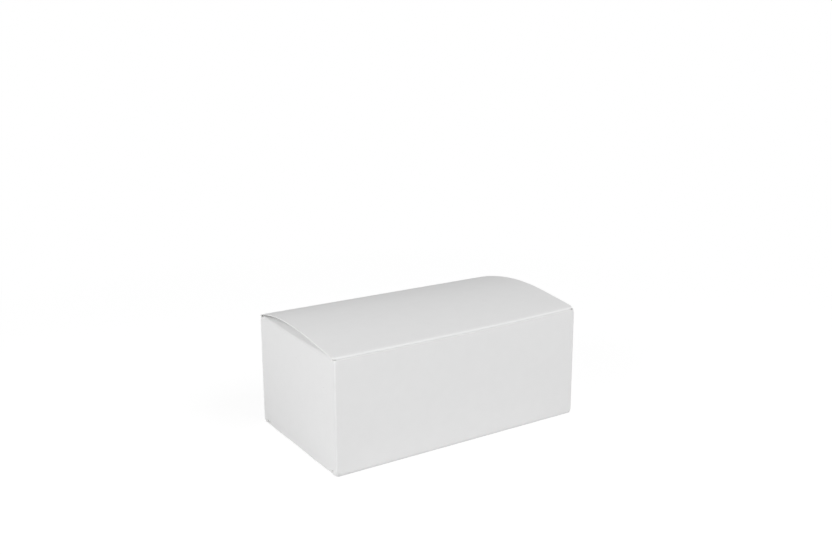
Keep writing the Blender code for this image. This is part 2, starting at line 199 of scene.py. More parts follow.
class FormSettings(bpy.types.PropertyGroup):
    """The lid's bow, the flaps' set, and the small ways in which a real carton leaves the ideal one."""

    crown: measure("Crown", "Rise of the bowed lid over its creases", 0.0062)
    crown_lean: FloatProperty(
        name="Crown lean", description="Share by which the bow leans to the hinge side", default=0.12,
        subtype="FACTOR")
    tuck_tilt: FloatProperty(
        name="Tuck tilt", description="Lean of the tuck flap into the carton", default=math.radians(9),
        subtype="ANGLE")
    dust_slope: FloatProperty(
        name="Dust flap slope", description="Rise of the dust flaps under the lid",
        default=math.radians(0.4), subtype="ANGLE")
    dust_belly: measure("Dust flap belly", "How far the dust flaps curve up from their creases", 0.005)
    belly_reach: measure("Belly reach", "How far in from the crease that curve levels out", 0.0145)
    bow_sink: measure("Bow sink", "How far the lid's bow has sunk at its left end", 0.0001, 5)
    bow_shear: measure(
        "Bow shear", "How strongly the bow is raised behind and lowered in front at the left", 0.0014, 5)
    lid_slip: measure("Lid slip", "How far the left end of the lid reaches out", 0.0008, 5)
    end_lean: measure("End lean", "How far the top of the front right corner leans in", 0.0008, 5)
    back_tilt: measure(
        "Back tilt", "How far the back fold is up at the left and down at the right", 0.0006, 5)
    front_rise: measure("Front rise", "How far the lid's front fold curls up at its ends", 0.0008, 5)
    front_twist: measure(
        "Front twist", "How much more than that it curls up at the right, and less at the left", 0.0004, 5)
    crease_sag: measure(
        "Crease sag", "How far the dust flaps draw down the middle of their creases", 0.0004, 5)
    strip_rise: measure("Strip rise", "How far the walls stand up at the back corners", 0.0004, 5)
    panel_hollow: measure("Panel hollow", "How far the middle of a wall is drawn in", 0.0003, 5)
    foot_wave: measure(
        "Foot wave", "Height of the waves in the bottom folds of the end walls", 0.00015, 5)
    foot_sag: measure("Foot sag", "How far the bottom folds of the end walls hang down", 0.00025, 5)
    corner_reach: measure("Corner reach", "How far a blunted corner reaches along its edges", 0.0032)
    foot_crush: measure("Foot crush", "How far the bottom corners are pushed in", 0.0009, 5)
    top_crush: measure("Top crush", "How far the top corners are pushed in", 0.0005, 5)
    dent_length: measure(
        "Dent length", "Reach of the knocked front left corner along the bottom", 0.0072)
    dent_height: measure("Dent height", "Reach of the knocked corner up the front panel", 0.0048)
    dent_depth: measure("Dent depth", "How far the knocked corner is pushed in", 0.0008, 5)


class FinishSettings(bpy.types.PropertyGroup):
    """The colours and surfaces of the board."""

    coated: FloatVectorProperty(
        name="Coated side", description="Clay-coated outside of the board", default=(0.82, 0.82, 0.82),
        subtype="COLOR")
    inner: FloatVectorProperty(
        name="Inner side", description="Uncoated inside of the board", default=(0.78, 0.78, 0.77),
        subtype="COLOR")
    # The cut edges are paler than the coated side: partly the pale fibre of the cut, partly a painted
    # highlight that makes their thin lines bright.
    edge: FloatVectorProperty(
        name="Cut edge", description="Fibres of the die-cut edges", default=(0.92, 0.92, 0.91),
        subtype="COLOR")
    coated_roughness: FloatProperty(
        name="Coated roughness", description="Roughness of the coated side", default=0.62, subtype="FACTOR")
    inner_roughness: FloatProperty(
        name="Inner roughness", description="Roughness of the uncoated side", default=0.8, subtype="FACTOR")


class StageSettings(bpy.types.PropertyGroup):
    """The studio: camera, lamps and floor."""

    azimuth: FloatProperty(
        name="Azimuth", description="Turn of the camera round the carton", default=math.radians(-33.129),
        subtype="ANGLE")
    elevation: FloatProperty(
        name="Elevation", description="Height of the camera over the horizon", default=math.radians(20.362),
        subtype="ANGLE")
    distance: FloatProperty(
        name="Distance", description="From the carton's middle to the camera", default=0.689428,
        unit="LENGTH")
    lens: FloatProperty(name="Lens", description="Focal length in millimetres", default=44.046)
    floor: FloatVectorProperty(
        name="Floor", description="Colour of the pale floor", default=(0.8, 0.8, 0.8), subtype="COLOR")
    floor_shadow: FloatProperty(
        name="Floor shadow", description="Depth of the darkest shadow on the floor", default=0.12,
        subtype="FACTOR")
    key_energy: FloatProperty(
        name="Key", description="Power of the small lamp close by at the left", default=0.6, unit="POWER")
    left_energy: FloatProperty(
        name="Left", description="Power of the large lamp at the left", default=6.44, unit="POWER")
    fill_energy: FloatProperty(
        name="Fill", description="Power of the large lamp at the front right", default=10.38, unit="POWER")
    surround: FloatProperty(
        name="Surround", description="Strength of the light from all round", default=0.25)


def rounded_corners(bm, verts, setback):
    """Rounds corners of a flat sheet."""
    bmesh.ops.bevel(
        bm, geom=verts, offset=setback, offset_type="OFFSET", segments=ROUND_STEPS, profile=0.5,
        affect="VERTICES", material=-1)


def sheet(corners):
    """A flat outline from (x, y, setback) corners, each rounded where its setback isn't zero."""
    bm = bmesh.new()
    verts = [bm.verts.new((x, y, 0)) for x, y, _ in corners]
    face = bm.faces.new(verts)
    face.normal_update()
    if face.normal.z < 0:
        bmesh.ops.reverse_faces(bm, faces=[face])
    for vert, (_, _, setback) in zip(verts, corners):
        if setback:
            rounded_corners(bm, [vert], setback)
    return bm


def mirrored(corners):
    """The corners of one half of an outline, and of its mirror image across local X."""
    return corners + [(x, -y, setback) for x, y, setback in reversed(corners)]


def cut(bm, place, normal, faces=None):
    """Cuts across the faces along a plane."""
    faces = bm.faces[:] if faces is None else faces
    edges = {edge for face in faces for edge in face.edges}
    verts = {vert for face in faces for vert in face.verts}
    bmesh.ops.bisect_plane(
        bm, geom=[*verts, *edges, *faces], dist=TINY, plane_co=place, plane_no=normal)


def score(bm, axis, low, high, spacing):
    """Evenly spaced mesh lines between two places, so that the sheet can bend there."""
    count = max(1, round((high - low) / spacing))
    for step in range(1, count):
        cut(bm, axis * (low + (high - low) * step / count), axis)


def score_near(bm, axis, place, inward, reach):
    """Closer mesh lines next to an edge whose corners are blunted."""
    for share in BLUNT_SHARES:
        cut(bm, axis * (place + inward * reach * share), axis)


def faces_between(bm, low, high):
    """The faces of a flat sheet whose middles lie between two corners."""
    found = []
    for face in bm.faces:
        middle = face.calc_center_median()
        if low[0] < middle.x < high[0] and low[1] < middle.y < high[1]:
            found.append(face)
    return found


def notch(bm, low, high):
    """Cuts a rectangle out of a flat sheet."""
    column = (low[0], -math.inf), (high[0], math.inf)
    for place in (low, high):
        cut(bm, (*place, 0), ACROSS)
    for place in (low, high):
        cut(bm, (*place, 0), ALONG, faces_between(bm, *column))
    bmesh.ops.delete(bm, geom=faces_between(bm, low, high), context="FACES")


def mark_joint(bm, axis, place, low=-math.inf, high=math.inf):
    """Marks the edges of a flat sheet on a line where the board runs on into another piece."""
    other = 1 - axis
    for edge in bm.edges:
        on_line = all(abs(vert.co[axis] - place) < TINY for vert in edge.verts)
        if on_line and low < (edge.verts[0].co[other] + edge.verts[1].co[other]) / 2 < high:
            edge.seam = True


def press_crease(bm, place, normal, faces, half_width, depth):
    """Presses a straight crease line into the outer side of a flat sheet."""
    place, normal = Vector(place), Vector(normal).normalized()
    cut(bm, place - normal * half_width, normal, faces(bm))
    cut(bm, place + normal * half_width, normal, faces(bm))
    cut(bm, place, normal, faces(bm))
    for vert in {vert for face in faces(bm) for vert in face.verts}:
        if abs((vert.co - place).dot(normal)) < TINY:
            vert.co.z -= depth


def bend(bm, turns, side):
    """Turns what lies beyond each line of a flat sheet down by its angle, the farthest line first."""
    lines = sorted(turns, key=lambda turn: -side * turn[0])
    beyond = [[vert for vert in bm.verts if side * (vert.co.x - line) > TINY] for line, _ in lines]
    for (line, angle), verts in zip(lines, beyond):
        turn = Matrix.Rotation(side * angle, 3, "Y")
        bmesh.ops.rotate(bm, verts=verts, cent=(line, 0, 0), matrix=turn)


def fold(bm, start, radius, angle, side):
    """Rolls a flat sheet round a creased fold that begins at a line and runs to one side."""
    length = radius * angle
    for beyond in (2 * radius, radius, radius / 3, 0):
        cut(bm, ACROSS * (start - side * beyond), ACROSS)
        cut(bm, ACROSS * (start + side * (length + beyond)), ACROSS)
    turns = []
    for step in range(FOLD_STEPS):
        line = start + side * length * (step + 0.5) / FOLD_STEPS
        cut(bm, ACROSS * line, ACROSS)
        turns.append((line, angle / FOLD_STEPS))
    bend(bm, turns, side)


def fold_reach(radius, angle):
    """From the crease, where the two faces would meet, to where the fold begins on either of them."""
    return radius * math.tan(angle / 2)


def leg_edge(radius, angle, leg):
    """Where a leg of that length beyond the crease ends on the flat sheet, before it is folded."""
    return 2 * fold_reach(radius, angle) - radius * angle - leg


def placement(origin, along, outward):
    """Sets local X along a direction and local Z outward, at a crease."""
    along = Vector(along).normalized()
    outward = Vector(outward).normalized()
    turn = Matrix((along, outward.cross(along), outward)).transposed()
    return Matrix.Translation(origin) @ turn.to_4x4()


def crease_span(place, radius, angle, caliper):
    """The two points between which a flap's crease bends: the inner ends of its fold."""
    reach = fold_reach(radius, angle)
    leg_end = Vector((-math.cos(angle), 0, -math.sin(angle))) * reach
    leg_end += Vector((math.sin(angle), 0, -math.cos(angle))) * caliper
    return place @ leg_end, place @ Vector((reach, 0, -caliper))


def ramp(value, low, high):
    """A smooth rise from 0 to 1 between two values."""
    share = min(1, max(0, (value - low) / (high - low)))
    return share * share * (3 - 2 * share)


def shares(place):
    """Where a point is across and into the carton, each from -1 to 1."""
    return place.x / HALF_LENGTH, place.y / HALF_DEPTH


def upper(place):
    """A rise from 0 at half the carton's height to 1 at its top creases."""
    return ramp(place.z, HEIGHT / 2, HEIGHT)


def bow_shift(form, place):
    """The lid's bow leans back at its left end and has sunk a little, and the dust flap below it."""
    across, deep = shares(place)
    sunk = (form.bow_sink - form.bow_shear * deep) * (1 - across) / 2
    return UP * -sunk * (1 - deep**2) * ramp(place.z, HEIGHT, HEIGHT + form.crown / 2)


def front_shift(form, place):
    """The fold at the lid's front curls up at its ends."""
    across, deep = shares(place)
    rise = (form.front_rise + form.front_twist * across) * across**2
    return UP * rise * ramp(-deep, *CURL_SHARES) * upper(place)


def back_shift(form, place):
    """The fold at the lid's back runs up to the left."""
    across, deep = shares(place)
    return UP * -form.back_tilt * across * ramp(deep, 0, 1) * upper(place)


def end_shift(form, place):
    """The dust flaps draw down their creases, and the end walls with them."""
    across, deep = shares(place)
    sag = form.crease_sag * (1 - deep**4)
    return UP * -sag * ramp(abs(across), *PULL_SHARES) * upper(place)


def strip_shift(form, place):
    """The walls stand up to the lid at the back corners, beside the flaps."""
    if place.y < DUST_HIGH.y + TINY or abs(place.x) < HALF_FLAP + TINY:
        return Vector()
    return UP * form.strip_rise * ramp(place.z, RIM - LEG, RIM)


def lean_shift(form, place):
    """The top of the front right corner leans in."""
    across, deep = shares(place)
    lean = form.end_lean * max(0, across) * ramp(-deep, *LEAN_SHARES)
    return ACROSS * -lean * max(0, place.z) / HEIGHT


def slip_shift(form, place):
    """The left end of the lid reaches out over the end wall."""
    across, _ = shares(place)
    return ACROSS * -form.lid_slip * (1 - across) / 2 * ramp(place.z, RIM, HEIGHT)


def belly_shift(form, place):
    """The dust flaps curve up from their creases, and level out under the lid."""
    _, deep = shares(place)
    bow = 1 - deep**2
    left = max(0, 1 - (HALF_LENGTH - abs(place.x)) / (form.belly_reach * bow))
    return UP * form.dust_belly * bow * (1 - left**2) * ramp(place.z, HEIGHT - LEG, HEIGHT)


def foot_shift(form, place):
    """The bottom folds of the end walls hang down a little beside the base, in slight waves.

    The raw edges that run on from them to the corners are cut a little short of the ground. A known
    fault: where the two meet, the wall's seam with its base flap opens by up to 0.8 mm.
    """
    _, deep = shares(place)
    low = 1 - ramp(place.z, 0, FOOT_ZONE)
    beside = ramp(abs(place.x), EAR_HIGH.x, HALF_LENGTH - form.foot_sag)
    inward = ramp(abs(place.x), EAR_HIGH.x - form.corner_reach, EAR_HIGH.x)
    if abs(place.y) > END_BASE_HIGH.y + TINY:
        share = ramp(HALF_DEPTH - abs(place.y), 0, HALF_DEPTH - END_BASE_HIGH.y)
        lift = CORNER_LIFT_SHARE + (1 - CORNER_LIFT_SHARE) * share
        return UP * low * beside * (UPPER_LAYER - FOOT) * lift
    wave = form.foot_wave * beside * math.sin(math.tau * (deep + WAVE_START_SHARE))
    return UP * low * (wave - form.foot_sag * (beside + inward) * SAG_SHARE)


def crush_shift(form, place):
    """The corners have been blunted, more at the bottom than at the top."""
    reach = form.corner_reach
    plan = max(0, 1 - max(HALF_LENGTH - abs(place.x), HALF_DEPTH - abs(place.y)) / reach)
    foot = form.foot_crush * max(0, 1 - place.z / reach) ** 2
    top = form.top_crush * max(0, 1 - max(0, RIM - place.z) / reach) ** 2
    push = plan * (foot + top)
    return Vector((math.copysign(push, -place.x), math.copysign(push, -place.y), 0))


def dent_shift(form, place):
    """The bottom of the front left corner was knocked in."""
    share = 1 - (place.x + HALF_LENGTH) / form.dent_length - place.z / form.dent_height
    share -= (place.y + HALF_DEPTH) / form.dent_length
    return ALONG * form.dent_depth * max(0, share)


def hollow_shift(form, place):
    """The walls are drawn in a little at their middles."""
    across, deep = shares(place)
    up = form.panel_hollow * math.sin(math.pi * min(1, max(0, place.z / RIM)))
    on_long = abs(place.y) > HALF_DEPTH - CALIPER
    on_end = abs(place.x) > HALF_LENGTH - CALIPER
    inward_x = -math.copysign(up * on_end * (1 - deep**2), place.x)
    inward_y = -math.copysign(up * on_long * (1 - across**2), place.y)
    return Vector((inward_x, inward_y, 0))


BODY_SHIFTS = (
    hollow_shift, front_shift, back_shift, end_shift, strip_shift, foot_shift, crush_shift, dent_shift,
    lean_shift)
LID_SHIFTS = (bow_shift, front_shift, back_shift, crush_shift, lean_shift, slip_shift)
DUST_SHIFTS = (bow_shift, front_shift, back_shift, end_shift, belly_shift, crush_shift, lean_shift)


def settle(bm, form, shifts):
    """Moves the ideal sheet to where it lies on a real carton that has been folded and handled."""
    moves = [sum((shift(form, vert.co) for shift in shifts), Vector()) for vert in bm.verts]
    for vert, move in zip(bm.verts, moves):
        vert.co += move


def thicken(bm, board):
    """Gives the sheet its caliper on the inner side, rounds its cut edges and sorts its surfaces."""
    outer = bm.faces[:]
    made = bmesh.ops.solidify(bm, geom=outer, thickness=board.caliper)["geom"]
    inner = {item for item in made if isinstance(item, bmesh.types.BMFace)}
    outer = set(outer)
    rim = [face for face in bm.faces if face not in outer and face not in inner]
    for face in inner:
        face.material_index = 1
    for face in rim:
        face.material_index = 2
    open_rim = {face for face in rim if not any(edge.seam for edge in face.edges)}
    cut_edges = {
        edge for face in open_rim for edge in face.edges
        if any(other in outer or other in inner for other in edge.link_faces)
    }
    bmesh.ops.bevel(
        bm, geom=list(cut_edges), offset=board.cut_rounding, offset_type="OFFSET",
        segments=EDGE_STEPS, profile=0.5, affect="EDGES", material=2)


def add_board(name, bm, place, slot, shifts, *replaced):
    """Places a folded sheet, settles and thickens it, and links it with the board's three surfaces."""
    scene = bpy.context.scene
    bmesh.ops.transform(bm, matrix=place, verts=bm.verts[:])
    settle(bm, scene.carton_form, shifts)
    thicken(bm, scene.carton_board)
    for face in bm.faces:
        face.smooth = True
    mesh = bpy.data.meshes.new(name)
    bm.to_mesh(mesh)
    bm.free()
    mesh.set_sharp_from_angle(angle=SHARP_ANGLE)
    for material in board_materials():
        mesh.materials.append(material)
    piece = bpy.data.objects.new(name, mesh)
    scene.collection.objects.link(piece)
    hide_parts(*replaced)
    return piece


def node(tree, kind, **settings):
    """A shader node with its properties set."""
    made = tree.nodes.new(kind)
    for name, value in settings.items():
        setattr(made, name, value)
    return made


def noise(tree, coordinates, size, detail):
    """A noise whose features are about that size."""
    made = node(tree, "ShaderNodeTexNoise")
    made.inputs["Scale"].default_value = 1 / size
    made.inputs["Detail"].default_value = detail
    tree.links.new(coordinates, made.inputs["Vector"])
    return made.outputs["Fac"]


def spread(tree, value, low, high, start=0.3, end=0.7):
    """Maps the middle of a noise to a range."""
    made = node(tree, "ShaderNodeMapRange")
    made.inputs["From Min"].default_value = start
    made.inputs["From Max"].default_value = end
    made.inputs["To Min"].default_value = low
    made.inputs["To Max"].default_value = high
    tree.links.new(value, made.inputs["Value"])
    return made.outputs["Result"]


def bump(tree, height, distance, strength, below=None):
    """A bump of that height in metres, over another one."""
    made = node(tree, "ShaderNodeBump")
    made.inputs["Distance"].default_value = distance
    made.inputs["Strength"].default_value = strength
    tree.links.new(height, made.inputs["Height"])
    if below:
        tree.links.new(below, made.inputs["Normal"])
    return made.outputs["Normal"]


def board_surface(name, colour, roughness, mottle, fibre, relief, specks):
    """Paperboard: cloudy colour, a fine fibre or coating relief, and a few specks from the pulp."""
    material = bpy.data.materials.get(name)
    if material:
        return material
    material = bpy.data.materials.new(name)
    material.use_nodes = True
    tree = material.node_tree
    shader = tree.nodes["Principled BSDF"]
    place = node(tree, "ShaderNodeTexCoord").outputs["Object"]
    cloud = spread(tree, noise(tree, place, CLOUD_SIZE, FINE_DETAIL), 1 - mottle, 1)
    fleck = node(tree, "ShaderNodeTexVoronoi")
    fleck.inputs["Scale"].default_value = 1 / SPECK_SPACING
    tree.links.new(place, fleck.inputs["Vector"])
    speck = spread(tree, fleck.outputs["Distance"], 1 - specks, 1, *SPECK_RIM_SHARES)
    shade = node(tree, "ShaderNodeMath", operation="MULTIPLY")
    tree.links.new(cloud, shade.inputs[0])
    tree.links.new(speck, shade.inputs[1])
    tint = node(tree, "ShaderNodeVectorMath", operation="SCALE")
    tint.inputs[0].default_value = colour
    tree.links.new(shade.outputs[0], tint.inputs["Scale"])
    tree.links.new(tint.outputs[0], shader.inputs["Base Color"])
    grain = noise(tree, place, GRAIN_SIZE, COARSE_DETAIL)
    coarse = bump(tree, grain, relief, GRAIN_STRENGTH)
    fine = bump(tree, noise(tree, place, fibre, FINE_DETAIL), relief, FIBRE_STRENGTH, coarse)
    tree.links.new(fine, shader.inputs["Normal"])
    sheen = noise(tree, place, SHEEN_SIZE, COARSE_DETAIL)
    gloss = spread(tree, sheen, roughness - SHEEN_SPREAD, roughness + SHEEN_SPREAD)
    tree.links.new(gloss, shader.inputs["Roughness"])
    shader.inputs["Metallic"].default_value = 0
    shader.inputs["Specular IOR Level"].default_value = SPECULAR
    return material


def board_materials():
    """The coated outside, the plain inside and the cut edges, in the order of the faces' indices."""
    finish = bpy.context.scene.carton_finish
    return (
        board_surface(
            "coated_side", finish.coated, finish.coated_roughness, mottle=0.012, fibre=0.0005,
            relief=0.00001, specks=0.25),
        board_surface(
            "inner_side", finish.inner, finish.inner_roughness, mottle=0.03, fibre=0.0007,
            relief=0.00003, specks=0.3),
        # The cut edges' colour is partly their pale fibre and partly a painted highlight.
        board_surface(
            "cut_edge", finish.edge, finish.inner_roughness, mottle=0.05, fibre=0.0002,
            relief=0.00004, specks=0),
    )


def settings(scene):
    """The settings of the board, the die and the form."""
    return scene.carton_board, scene.carton_die, scene.carton_form


def score_lid(bm, board, form, half):
    """Mesh lines along the lid or its tuck flap, closer at the ends, where the corners are blunted."""
    score(bm, ALONG, -half, half, board.grid)
    for side in (LEFT, RIGHT):
        score_near(bm, ALONG, side * half, -side, form.corner_reach)


class CARTON_OT_walls(bpy.types.Operator):
    """Folds the four walls and the glued seam from one strip of board"""

    bl_idname = "carton.walls"
    bl_label = "Walls"
    bl_options = {"REGISTER", "UNDO"}

    def cut_notches(self, bm, board, take_up, back_middle):
        """Cuts the walls back to the creases of their flaps, and marks where the flaps run on."""
        dust_seam = DUST_CREASE.z - LEG
        end_base_seam = UPPER_LAYER + LEG
        gap = board.caliper * GAP_SHARE
        dust_half = DUST_HIGH.y + gap
        base_half = END_BASE_HIGH.y + gap
        flap_half = HALF_FLAP + gap
        above = RIM + board.grid
        for side in (RIGHT, LEFT):
            middle = side * (HALF_LENGTH + take_up + HALF_DEPTH)
            notch(bm, (middle - dust_half, dust_seam), (middle + dust_half, above))
            notch(bm, (middle - base_half, -board.grid), (middle + base_half, end_base_seam))
            mark_joint(bm, 1, dust_seam, middle - dust_half, middle + dust_half)
            mark_joint(bm, 1, end_base_seam, middle - base_half, middle + base_half)
        for middle in (0, back_middle):
            notch(bm, (middle - flap_half, -board.grid), (middle + flap_half, LEG))
            mark_joint(bm, 1, LEG, middle - flap_half, middle + flap_half)
        notch(bm, (back_middle - flap_half, HEIGHT - LEG), (back_middle + flap_half, above))
        mark_joint(bm, 1, HEIGHT - LEG, back_middle - flap_half, back_middle + flap_half)

    def cut_seam_flap(self, bm, die, root, tip):
        """Draws in the glue flap at its top and bottom, clear of the fold of the dust flap."""
        low, high = (tip, -math.inf), (root, math.inf)
        cut(bm, ACROSS * root, ACROSS)
        for level, side in ((DUST_LOW.z - FOOT, 1), (FOOT, -1)):
            corner = Vector((root, level, 0))
            outward = Vector((-die.seam_taper, side * (root - tip), 0))
            cut(bm, corner, outward, faces_between(bm, low, high))
            waste = [
                face for face in faces_between(bm, low, high)
                if outward.dot(face.calc_center_median() - corner) > 0
            ]
            bmesh.ops.delete(bm, geom=waste, context="FACES")
        tips = [vert for vert in bm.verts if abs(vert.co.x - tip) < TINY]
        rounded_corners(bm, tips, die.seam_rounding)

    def execute(self, context):
        board, die, form = settings(context.scene)
        radius = board.fold_radius
        take_up = radius * SQUARE - 2 * radius
        left_corner = HALF_LENGTH
        back_corner = left_corner + take_up + 2 * HALF_DEPTH
        seam_corner = back_corner + take_up + HALF_LENGTH + SEAM_HIGH.x
        right_end = HALF_LENGTH + take_up + END_HIGH.y + HALF_DEPTH
        seam_tip = -(seam_corner + take_up + HALF_DEPTH - SEAM_LOW.y)
        seam_root = -(seam_corner + take_up + HEIGHT - LID_LOW.z)
        bm = sheet([(seam_tip, FOOT, 0), (right_end, FOOT, 0), (right_end, RIM, 0), (seam_tip, RIM, 0)])
        self.cut_notches(bm, board, take_up, -(back_corner + take_up + HALF_LENGTH))
        self.cut_seam_flap(bm, die, seam_root, seam_tip)
        score(bm, ACROSS, seam_tip, right_end, board.grid)
        score(bm, ALONG, FOOT, RIM, board.grid)
        score_near(bm, ALONG, FOOT, 1, form.corner_reach)
        score_near(bm, ALONG, RIM, -1, form.corner_reach)
        dent_low = (-HALF_LENGTH - form.dent_length, -math.inf)
        dent_high = (-HALF_LENGTH + 2 * form.dent_length, 2 * form.dent_height)
        cut(bm, (-HALF_LENGTH + form.dent_length, 0, 0), (1 / form.dent_length, 1 / form.dent_height, 0),
            faces_between(bm, dent_low, dent_high))
        fold(bm, HALF_LENGTH - radius, radius, SQUARE, RIGHT)
        for corner in (seam_corner, back_corner, left_corner):
            fold(bm, -(corner - radius), radius, SQUARE, LEFT)
        place = placement((0, -HALF_DEPTH, 0), (1, 0, 0), (0, -1, 0))
        walls = add_board(
            "carton_walls", bm, place, "coated_board", BODY_SHIFTS, "front_panel", "back_panel",
            "left_end_panel", "right_end_panel", "seam_glue_flap")
        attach(walls, "carton")
        return {"FINISHED"}


class CARTON_OT_base(bpy.types.Operator):
    """Folds the four flaps of the crash-lock base"""

    bl_idname = "carton.base"
    bl_label = "Crash-lock base"
    bl_options = {"REGISTER", "UNDO"}

    def end_flap(self, board, die, form, side):
        """The flap of an end wall, which lies on the glue ears."""
        radius = board.fold_radius
        start = leg_edge(radius, SQUARE, LEG)
        root = END_BASE_HIGH.y
        tip = HALF_LENGTH - END_BASE_LOW.x
        bm = sheet(mirrored([
            (start, -root, 0),
            (2 * radius, -root, 0),
            (tip, -(root - die.base_taper), die.base_rounding),
        ]))
        score(bm, ALONG, -root, root, board.grid / FLAP_FINENESS)
        score_near(bm, ACROSS, HALF_LENGTH - EAR_HIGH.x, 1, form.corner_reach)
        mark_joint(bm, 0, start)
        fold(bm, fold_reach(radius, SQUARE), radius, SQUARE, LEFT)
        return bm, placement((side * HALF_LENGTH, 0, UPPER_LAYER), (-side, 0, 0), (0, 0, -1))

    def long_flap(self, board, die, turned):
        """The flap of a long wall, with its glue ear and a nose that ramps up and hooks over the other."""
        radius = board.fold_radius
        start = leg_edge(radius, SQUARE, LEG)
        edge = EAR_HIGH.y + HALF_DEPTH
        ramp_end = HALF_DEPTH + die.ramp_end
        nose_tip = LONG_BASE_HIGH.y + HALF_DEPTH
        nose_outer = END_BASE_LOW.x - die.nose_clearance
        foot = 2 * radius
        hook = ramp_end + die.hook_root
        bm = sheet([
            (start, -HALF_FLAP, 0),
            (start, HALF_FLAP, 0),
            (foot, HALF_FLAP, 0),
            (foot + EAR_HIGH.x - HALF_FLAP, EAR_HIGH.x, 0),
            (edge - die.ear_taper, EAR_HIGH.x, die.ear_rounding),
            (edge, EAR_LOW.x + die.ear_edge, die.ear_rounding),
            (edge, -die.slit, 0),
            (hook, -die.slit, die.slit),
            (hook + die.hook_setback, die.hook_length, die.hook_rounding),
            (nose_tip, die.hook_length, die.nose_rounding),
            (nose_tip, -(nose_outer - die.nose_taper), die.nose_rounding),
            (edge, -nose_outer, 0),
            (edge, -(HALF_FLAP - die.relief), die.nose_rounding),
            (foot, -HALF_FLAP, 0),
        ])

        def beside_crease(bm):
            return faces_between(bm, (foot, EAR_LOW.x - HALF_DEPTH), (edge, HALF_LENGTH))

        press_crease(
            bm, (edge, EAR_LOW.x, 0), (1, 1, 0), beside_crease, radius / 2, board.crease_depth)
        low, high = 2 * HALF_DEPTH - ramp_end, ramp_end
        for share in (0, *BLUNT_SHARES):
            cut(bm, ACROSS * (low + (high - low) * share), ACROSS)
        mark_joint(bm, 0, start)
        fold(bm, fold_reach(radius, SQUARE), radius, SQUARE, LEFT)
        for vert in bm.verts:
            if vert.co.x > low:
                vert.co.z -= UPPER_LAYER * ramp(vert.co.x, low, high)
        place = placement((0, -HALF_DEPTH, 0), (0, 1, 0), (0, 0, -1))
        return bm, Matrix.Rotation(turned, 4, "Z") @ place

    def execute(self, context):
        board, die, form = settings(context.scene)
        for name, side in (("left", LEFT), ("right", RIGHT)):
            bm, place = self.end_flap(board, die, form, side)
            flap = add_board(
                name + "_base_board", bm, place, "inner_board", BODY_SHIFTS, name + "_base_flap")
            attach(flap, "carton")
        for name, turned in (("front", 0), ("back", math.pi)):
            bm, place = self.long_flap(board, die, turned)
            flap = add_board(
                name + "_base_board", bm, place, "coated_board", BODY_SHIFTS, name + "_base_flap",
                name + "_glue_ear")
            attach(flap, "carton")
        return {"FINISHED"}


class CARTON_OT_lid(bpy.types.Operator):
    """Folds the bowed lid and its tuck flap"""

    bl_idname = "carton.lid"
    bl_label = "Lid and tuck flap"
    bl_options = {"REGISTER", "UNDO"}

    def bow(self, form):
        """Points (y, z) of the lid from its hinge crease to its joint with the tuck flap."""
        middle = (LID_CREASE.y + LIP_CREASE.y) / 2
        half = LID_CREASE.y - middle
        points = []
        for step in range(BOW_STEPS + 1):
            y = LID_CREASE.y + (LID_LOW.y - LID_CREASE.y) * step / BOW_STEPS
            share = (y - middle) / half
            rise = form.crown * (1 - share**2) * (1 + form.crown_lean * share)
            points.append(Vector((y, HEIGHT + rise)))
        return points

    def lid(self, board, form, points):
        """The lid, bent along its bow and folded at its hinge."""
        steps = [ahead - behind for behind, ahead in zip(points, points[1:])]
        slopes = [math.atan2(step.y, -step.x) for step in steps]
        radius, turn = board.fold_radius, SQUARE - slopes[0]
        start = leg_edge(radius, turn, LEG)
        step_out = fold_reach(radius, turn) - radius * turn
        end = sum(step.length for step in steps)
        half = LID_HIGH.x
        bm = sheet(mirrored([
            (start, -HALF_FLAP, 0),
            (step_out, -HALF_FLAP, 0),
            (step_out, -half, 0),
            (end, -half, 0),
        ]))
        lines = []
        distance = 0
        for behind, ahead, step in zip(slopes, slopes[1:], steps):
            distance += step.length
            cut(bm, ACROSS * distance, ACROSS)
            lines.append((distance, behind - ahead))
        score_lid(bm, board, form, half)
        mark_joint(bm, 0, start)
        mark_joint(bm, 0, end)
        bend(bm, lines, RIGHT)
        fold(bm, fold_reach(radius, turn), radius, turn, LEFT)
        rise = Vector((0, -math.cos(slopes[0]), math.sin(slopes[0])))
        outward = Vector((0, math.sin(slopes[0]), math.cos(slopes[0])))
        place = placement(LID_CREASE, rise, outward)
        return bm, place, crease_span(place, radius, turn, board.caliper)

    def tuck(self, board, die, form, joint):
        """The tuck flap, folded at the lid's front from the place where the lid ends."""
        back = joint - Vector((LIP_CREASE.y, LIP_CREASE.z))
        radius, tilt = board.lip_radius, form.tuck_tilt
        turn = SQUARE + tilt - math.atan2(back.y, back.x)
        start = leg_edge(radius, turn, back.length)
        reach = fold_reach(radius, turn)
        step_in = reach - LIP_STEP_SHARE * radius * turn
        half = LID_HIGH.x
        root = HALF_LENGTH - die.tuck_clearance
        bm = sheet(mirrored([
            (start, -half, 0),
            (step_in, -half, 0),
            (step_in, -root, 0),
            (reach + radius, -root, 0),
            (die.tuck_length, -(root - die.tuck_taper), die.tuck_rounding),
        ]))
        score_lid(bm, board, form, half)
        mark_joint(bm, 0, start)
        fold(bm, reach, radius, turn, LEFT)
        place = placement(
            LIP_CREASE, (0, math.sin(tilt), -math.cos(tilt)), (0, -math.cos(tilt), -math.sin(tilt)))
        return bm, place, crease_span(place, radius, turn, board.caliper)

    def execute(self, context):
        board, die, form = settings(context.scene)
        points = self.bow(form)
        bm, place, span = self.lid(board, form, points)
        lid = add_board("lid_board", bm, place, "coated_board", LID_SHIFTS, "lid_panel")
        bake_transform(lid)
        bm, place, span = self.tuck(board, die, form, points[-1])
        tuck = add_board("tuck_board", bm, place, "coated_board", LID_SHIFTS, "tuck_flap")
        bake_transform(tuck)
        return {"FINISHED"}


